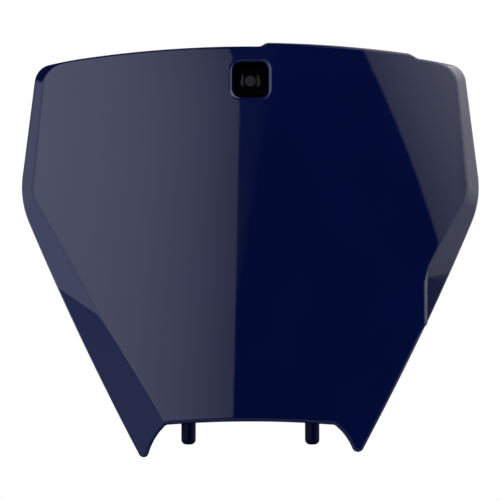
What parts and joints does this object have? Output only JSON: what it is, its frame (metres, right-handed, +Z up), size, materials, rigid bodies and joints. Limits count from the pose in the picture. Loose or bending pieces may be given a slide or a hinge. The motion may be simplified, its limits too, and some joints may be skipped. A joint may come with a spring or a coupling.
{
  "type": "racing number board",
  "caption": "Front number board of an off-road motorcycle: a curved plate with folded flanks, a square fixing recess and locating pegs on its lower edge.",
  "frame": {"origin": "centre of the screw boss's mouth, behind the square recess, in the plane of the flat rim at the back", "axes": "+X to the right as seen from the front, +Y rearwards along the screw boss, +Z up"},
  "size_m": [0.2556, 0.028, 0.2288],
  "materials": {
    "plastic": "glossy dark navy blue polypropylene"
  },
  "bodies": {
    "root": {"number_board": "plastic"}
  },
  "joints": []
}
